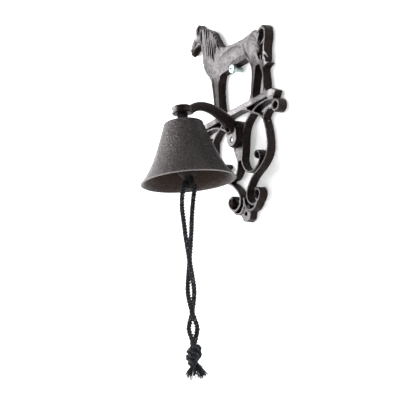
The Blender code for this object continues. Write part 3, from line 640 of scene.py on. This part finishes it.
def addMane(bm):
    thick = maneLook["thickness"]
    for k, strand in enumerate(maneStrands):
        points = []
        for j, (a, b) in enumerate(strand):
            lift = maneLook["lift"] + 0.5 * math.sin(2.1 * j + k * 1.3)
            points.append(horsePoint(a, b, frontFace - lift))
        addTube(bm, points, (thick * 0.8, thick * 1.12, thick, thick * 0.8, thick * 0.3), 2)
    ear = [horsePoint(-0.400, 0.895, frontFace + 1.0), horsePoint(-0.393, 0.940, frontFace - 0.2),
           horsePoint(-0.389, 0.985, frontFace + 1.4)]
    addTube(bm, ear, (2.0, 2.5, 0.5), 3, smoothLine=False)


tailRidges = [  # radii, then points in shares
    ((1.7, 1.6, 1.6, 1.5, 1.4, 1.3, 1.1), [(0.395, 0.535), (0.440, 0.562), (0.478, 0.556),
                                          (0.497, 0.520), (0.486, 0.455), (0.462, 0.392),
                                          (0.449, 0.330), (0.438, 0.276), (0.405, 0.240)]),
    ((1.2, 1.1, 0.5), [(0.486, 0.462), (0.460, 0.436), (0.418, 0.423)]),
    ((1.1, 1.1, 0.4), [(0.452, 0.352), (0.468, 0.318), (0.487, 0.276)]),
    ((1.0, 1.0, 0.4), [(0.444, 0.310), (0.452, 0.285), (0.455, 0.250)]),
    ((0.6, 1.2, 0.9), [(0.374, 0.315), (0.394, 0.262), (0.404, 0.200)]),
]


groundLook = {"rows": 4, "rowHalf": 60, "rowStep": 1.45, "rowSteps": 12,
              "tufts": 52, "tuftFrom": -59, "tuftSpan": 117}


def addGround(bm):
    look = groundLook
    for k in range(look["rows"]):
        z = groundTop - 1.2 - look["rowStep"] * k
        half = look["rowHalf"] - 2.2 * k
        points = []
        for j in range(look["rowSteps"] + 1):
            t = j / look["rowSteps"]
            points.append(Vector((-half + 2 * half * t, frontFace + 0.25,
                                  z + 0.35 * math.sin(9 * t + k * 2))))
        addTube(bm, points, (0.5, 0.75, 0.75, 0.5), 1)
    for k in range(look["tufts"]):
        x = look["tuftFrom"] + look["tuftSpan"] * (k + 0.5) / look["tufts"]
        x += random.uniform(-0.9, 0.9)
        z = groundTop - 1.5 - random.random() * 3.6
        points = [Vector((x - 1.6, frontFace + 0.2, z - 0.5)), Vector((x, frontFace - 0.15, z)),
                  Vector((x + 2.2, frontFace + 0.3, z + 0.7))]
        addTube(bm, points, (0.4, 0.85, 0.4), 0)


scrollBalls = [(19.9, -64.6, 4.3, 0.9), (26.4, -27.0, 3.6, 0.7)]  # x, z, radius, how proud
eyeRing = {"x": 64.4, "z": 11, "radius": 5.0, "thickness": 1.5, "sunk": 0.9}
# Brighter patches on the plate's front faces: rubbed metal and painted highlight.
polishAndHighlightPatches = [  # share across, share up, reach across and up in mm, how bright
    (0.360, -0.030, 24.0, 5.0, 0.34), (0.050, -0.030, 50.0, 4.5, 0.3),
    (-0.500, -0.030, 14.0, 5.0, 0.45), (-0.430, 0.900, 3.2, 6.5, 0.6),
    (-0.535, 0.790, 3.0, 3.0, 0.4), (0.455, 0.300, 3.5, 12.0, 0.35),
]
# Dark patches: painted shade on the legs, under the head, on the chest and on the belly.
darkPatches = [  # share across, share up, reach across and up in mm, how dark
    (-0.222, 0.130, 10.0, 32.0, 0.78), (0.300, 0.120, 13.0, 30.0, 0.7),
    (0.405, 0.120, 8.0, 26.0, 0.6), (-0.520, 0.745, 7.5, 5.5, 0.95),
    (-0.455, 0.745, 9.0, 6.0, 0.92), (-0.340, 0.560, 6.0, 8.0, 0.4),
    (0.120, 0.395, 22.0, 4.5, 0.6), (-0.290, 0.470, 8.0, 10.0, 0.35),
]


def addScrollEnds(bm):
    for x, z, radius, proud in scrollBalls:
        for side in (1, -1):
            addBlob(bm, side * x, z, radius, radius, proud, 0, 4.5)
    for side in (1, -1):
        middle = Vector((side * eyeRing["x"], frontFace + eyeRing["sunk"], eyeRing["z"]))
        ring = [middle + Vector((math.cos(a), 0, math.sin(a))) * eyeRing["radius"]
                for a in circleAngles(16)]
        addTube(bm, ring, (eyeRing["thickness"],), 2, closed=True)


def paintPatches(mesh, name, spots):
    layer = mesh.attributes.new(name, "FLOAT", "POINT")
    for vert, value in zip(mesh.vertices, layer.data):
        x, z = vert.co.x / mm, vert.co.z / mm
        keep = 1.0
        for spotX, spotZ, across, up, strength in spots:
            away = ((x - spotX) / across) ** 2 + ((z - spotZ) / up) ** 2
            if away < 1:
                keep *= 1 - strength * min(1.0, 2.2 * (1 - away))
        value.value = 1 - keep


def paintPlate(mesh):                   # painted shade in the dark patches; rubbed metal and painted highlight in the bright ones
    dark, bright = [[(horsePoint(a, b).x, horsePoint(a, b).z, across, up, strength)
                     for a, b, across, up, strength in patches]
                    for patches in (darkPatches, polishAndHighlightPatches)]
    # The scroll balls are darkened as painted shade.
    for x, z, radius, proud in scrollBalls:
        dark += [(side * x, z, radius + 1.3, radius + 1.3, 1.0) for side in (1, -1)]
    paintPatches(mesh, "paintedShade", dark)
    paintPatches(mesh, "polishAndHighlight", bright)


headRound = {"behind": 15, "below": 14, "frontY": -8, "span": 24, "back": 3.2, "inward": 0.12}


def roundHead(bm):                      # the head is rounded towards its front
    head, nose = headRound, horsePoint(-0.50, 0.815)
    edge = nose.x + head["behind"]
    for vert in bm.verts:
        if (vert.co.y < head["frontY"] and vert.co.x < edge
                and vert.co.z > nose.z - head["below"]):
            share = min(max((edge - vert.co.x) / head["span"], 0), 1)
            vert.co.y += head["back"] * share
            vert.co.x += head["inward"] * share * (nose.x - vert.co.x)
            vert.co.z += head["inward"] * share * (nose.z - vert.co.z)


def makeWallPlate():
    bm = cadCopy("wall_plate")
    roundHead(bm)
    addHorseRelief(bm)
    addMane(bm)
    addRidges(bm, tailRidges, 0.5)
    addGround(bm)
    addScrollEnds(bm)
    plate = finishPiece(bm, "wallPlate", "bracket", plateIron, ["wall_plate"])
    meltTogether(plate, 0.6, 3)
    shadeSmooth(plate, 60)
    paintPlate(plate.data)
    print("wall plate", len(plate.data.polygons), "faces")


def makeArm():
    bm = cadCopy("bell_arm")
    arm = finishPiece(bm, "bellArm", "bracket", armIron, ["bell_arm"])
    meltTogether(arm, 0.45, 6)
    shadeSmooth(arm, 60)


makeWallPlate()
makeArm()
print("plate and arm cast")


# Bell

bellShape = {"mouth": 46.0, "crown": 18.4, "height": 58.5, "wall": 3.0, "flare": 0.27,
             "flarePower": 4.5, "crownRound": 2.8, "top": 7.9, "bore": 3.3, "lip": 0.5,
             "lipInside": 1.6, "sideSteps": 40, "crowding": 1.2, "cornerSteps": 8,
             "hollowSteps": 6, "steps": 160}
bellInsideShade = {"above": 1.2, "inside": 1.5, "first": 0.5, "rise": 0.07, "most": 0.97}


def bellRadius(share):
    s, rest = bellShape, 1 - share
    opening = (1 - s["flare"]) * rest + s["flare"] * rest ** s["flarePower"]
    return s["crown"] + (s["mouth"] - s["crown"]) * opening


def makeBell():
    s = bellShape
    bottom = s["top"] - s["height"]
    straight = s["height"] - s["crownRound"]
    outside = []
    for k in range(s["sideSteps"] + 1):
        share = (k / s["sideSteps"]) ** s["crowding"]
        height = s["lip"] + (straight - s["lip"]) * share
        outside.append((bellRadius(height / s["height"]), bottom + height))
    corner = []
    for k in range(1, s["cornerSteps"] + 1):
        angle = math.radians(8 + 82 * k / s["cornerSteps"])
        corner.append((outside[-1][0] - s["crownRound"] * (1 - math.cos(angle)),
                       bottom + straight + s["crownRound"] * math.sin(angle)))
    under = s["top"] - s["wall"]
    inside = [(r - s["wall"], z) for r, z in outside[::-1] if z < under - s["crownRound"]]
    inside = [p for p in inside if p[1] > bottom + s["lipInside"]]
    first = inside[0]
    hollow = []
    for k in range(s["hollowSteps"]):
        angle = math.radians(90 - 90 * k / s["hollowSteps"])
        hollow.append((first[0] - s["crownRound"] * (1 - math.cos(angle)),
                       under - s["crownRound"] * (1 - math.sin(angle))))
    rim = outside[0][0]
    lip = [(rim - s["wall"] + 0.5, bottom + 0.5), (rim - s["wall"] + 1.1, bottom + 0.05),
           (rim - 0.55, bottom)]
    profile = (outside + corner + [(s["bore"] + 0.4, s["top"]), (s["bore"], s["top"] - 0.3),
                                   (s["bore"], under)] + hollow + inside + lip)
    bm = spunMesh(profile, bellAxis, s["steps"])
    bell = finishPiece(bm, "bell", "bracket", bellIron, ["bell"], 35)
    layer = bell.data.attributes.new("paintedShade", "FLOAT", "POINT")
    shadeTone = bellInsideShade
    for vert, value in zip(bell.data.vertices, layer.data):     # painted shade: the inside takes a dull brown, more fully towards the crown
        height = vert.co.z / mm - bottom
        away = (vert.co.xy / mm - bellAxis.xy).length
        wall = bellRadius(min(max(height / s["height"], 0), 1))
        if height > shadeTone["above"] and away < wall - shadeTone["inside"]:
            value.value = min(shadeTone["first"] + height * shadeTone["rise"], shadeTone["most"])


makeBell()
print("bell turned")


# Bolt, nuts and washers through the crown, and the link

threadSteps = 20


def threadedMesh(radius, low, high, pitch, height):
    turns = (high - pitch - low) / pitch
    root = radius - 0.15
    bm = bmesh.new()
    verts = [bm.verts.new(p) for p in ((root, 0, low), (radius + height, 0, low + pitch * 0.35),
                                       (root, 0, low + pitch * 0.7))]
    edges = [bm.edges.new((verts[0], verts[1])), bm.edges.new((verts[1], verts[2])),
             bm.edges.new((verts[2], verts[0]))]
    face = bm.faces.new(verts)
    bmesh.ops.spin(bm, geom=[face] + edges + verts, cent=(0, 0, 0), axis=upAxis,
                   angle=2 * math.pi * turns, steps=int(threadSteps * turns),
                   dvec=(0, 0, pitch / threadSteps), use_merge=False)
    mesh = bpy.data.meshes.new("thread")
    bm.to_mesh(mesh)
    bm.free()
    return mesh


boltShape = {"radius": 2.62, "threadLow": -1.0, "threadHigh": 22.9, "pitch": 1.0,
             "threadHeight": 0.34, "eyeRadius": 4.0, "eyeWire": 1.25, "eyeZ": -7.95}
boltProfile = [(0, 23.2), (2.1, 23.2), (2.62, 22.6), (2.62, -1.9), (1.9, -4.0), (1.4, -4.6),
               (0, -4.6)]


def makeEyeBolt():
    s = boltShape
    bm = spunMesh(boltProfile, (0, 0, 0), 40)
    addMesh(bm, threadedMesh(s["radius"], s["threadLow"], s["threadHigh"], s["pitch"],
                             s["threadHeight"]))
    bmesh.ops.translate(bm, vec=bellAxis, verts=bm.verts)
    ring = [bellAxis + Vector((s["eyeRadius"] * math.cos(a), 0,
                               s["eyeZ"] + s["eyeRadius"] * math.sin(a)))
            for a in circleAngles(40)]
    addTube(bm, ring, (s["eyeWire"],), 4, closed=True, smoothLine=False)
    finishPiece(bm, "eyeBolt", "bracket", darkSteelShaded, ["eye_bolt"], 40)


linkShape = {"z": -14.8, "bend": 3.2, "straight": 2.3, "wire": 1.1}


def makeLink():
    s = linkShape
    line = []
    for angle in circleAngles(24, 0.5):
        shift = s["straight"] if math.sin(angle) > 0 else -s["straight"]
        line.append(bellAxis + Vector((0, s["bend"] * math.cos(angle),
                                       s["z"] + s["bend"] * math.sin(angle) + shift)))
    bm = bmesh.new()
    addTube(bm, line, (s["wire"],), 4, closed=True, smoothLine=False)
    finishPiece(bm, "clapperLink", "clapper_link", darkSteelShaded, ["clapper_link"], 50)


def chamfered(node, name, material, width):
    bm = cadCopy(node)
    bmesh.ops.dissolve_limit(bm, angle_limit=math.radians(1.5), verts=bm.verts, edges=bm.edges)
    sharp = [e for e in bm.edges if len(e.link_faces) == 2
             and e.calc_face_angle(0) > math.radians(40)]
    bmesh.ops.bevel(bm, geom=sharp, offset=width, offset_type="OFFSET", affect="EDGES",
                    segments=2, profile=0.5, material=-1)
    finishPiece(bm, name, "bracket", material, [node], 35)


makeEyeBolt()
makeLink()
for node, name in (("outer_crown_nut", "outerCrownNut"), ("inner_crown_nut", "innerCrownNut"),
                   ("outer_crown_washer", "outerCrownWasher"),
                   ("inner_crown_washer", "innerCrownWasher")):
    chamfered(node, name, darkSteelShaded, 0.3)
for node, name in (("arm_screw_upper", "armScrewUpper"), ("arm_screw_lower", "armScrewLower")):
    chamfered(node, name, dullZinc, 0.18)
print("fastenings made")


def makeClapper():
    bm = cadCopy("clapper")
    clapper = finishPiece(bm, "clapper", "clapper", clapperIronShaded, ["clapper"])
    meltTogether(clapper, 0.32, 4)
    shadeSmooth(clapper, 60)


screwShape = {"place": (7.0, 0, 67.8), "radius": 2.5, "threadLow": -9.0, "threadHigh": 24.0,
              "pitch": 1.5, "threadHeight": 0.28}


def makeWallScrew():
    s = screwShape
    bm = cadCopy("wall_screw")
    thread = threadedMesh(s["radius"], s["threadLow"], s["threadHigh"], s["pitch"],
                          s["threadHeight"])
    turn = Matrix.Rotation(math.radians(-90), 4, "X")
    thread.transform(Matrix.Translation(s["place"]) @ turn)
    addMesh(bm, thread)
    screw = finishPiece(bm, "wallScrew", "bracket", zinc, ["wall_screw"])
    meltTogether(screw, 0.2, 3)
    shadeSmooth(screw, 60)


makeClapper()
makeWallScrew()
print("clapper and wall screw made")


# Stage and light

def stageMaterial(look):                # seen from the front only, and it throws no shadow
    material, tree, shader = newMaterial("paleWall", look["color"], 0.0, 0.9)
    shader.inputs["Emission Color"].default_value = (1, 1, 1, 1)
    shader.inputs["Emission Strength"].default_value = look["glow"]
    clear = tree.nodes.new("ShaderNodeBsdfTransparent")
    mix = tree.nodes.new("ShaderNodeMixShader")
    geometry = tree.nodes.new("ShaderNodeNewGeometry")
    path = tree.nodes.new("ShaderNodeLightPath")
    either = addMath(tree, "MAXIMUM", geometry.outputs["Backfacing"],
                     path.outputs["Is Shadow Ray"])
    tree.links.new(either, mix.inputs["Fac"])
    tree.links.new(shader.outputs[0], mix.inputs[1])
    tree.links.new(clear.outputs[0], mix.inputs[2])
    tree.links.new(mix.outputs[0], tree.nodes["Material Output"].inputs["Surface"])
    return material


stageLook = {"color": (0.86, 0.86, 0.86), "glow": 0.28, "wall": 3.0, "wallGap": 0.0006,
             "floor": -0.9, "world": 0.16}


def makeStage(look):
    pale = stageMaterial(look)
    half = look["wall"] / 2
    for name, place in (("wall", (0, look["wallGap"], 0)), ("floor", (0, -half, look["floor"]))):
        bm = bmesh.new()
        bmesh.ops.create_grid(bm, x_segments=1, y_segments=1, size=half)
        if name == "wall":
            bmesh.ops.rotate(bm, cent=(0, 0, 0), matrix=Matrix.Rotation(math.radians(90), 3, "X"),
                             verts=bm.verts)
        bmesh.ops.translate(bm, vec=place, verts=bm.verts)
        mesh = bpy.data.meshes.new(name)
        bm.to_mesh(mesh)
        bm.free()
        obj = linkMesh(name, mesh)
        obj.data.materials.append(pale)
    world = bpy.data.worlds.new("studio")
    world.use_nodes = True
    tree = world.node_tree
    background = tree.nodes["Background"]
    background.inputs["Color"].default_value = (1, 1, 1, 1)
    path = tree.nodes.new("ShaderNodeLightPath")
    strength = tree.nodes.new("ShaderNodeMapRange")
    strength.inputs["To Min"].default_value = look["world"]
    strength.inputs["To Max"].default_value = 1.0
    tree.links.new(path.outputs["Is Camera Ray"], strength.inputs["Value"])
    tree.links.new(strength.outputs["Result"], background.inputs["Strength"])
    bpy.context.scene.world = world


makeStage(stageLook)
lamps = [  # name, place, aim, size, power
    ("keyLight", (-0.82, -1.40, 0.42), (0, -0.03, 0.02), (1.4, 1.4), 56),
    ("frontFill", (0.9, -1.3, 0.1), (0, -0.03, 0), (1.4, 1.4), 1.3),
    ("windowLight", (-1.35, -0.55, 0.3), (0, -0.05, 0), (0.5, 1.1), 8),
    ("backLight", (0.3, 1.2, 0.6), (0, 0, 0), (1.2, 1.2), 10),
]
for lamp in lamps:
    makeLight(*lamp)
bpy.context.scene.view_settings.view_transform = "Standard"
print("stage and lights set")
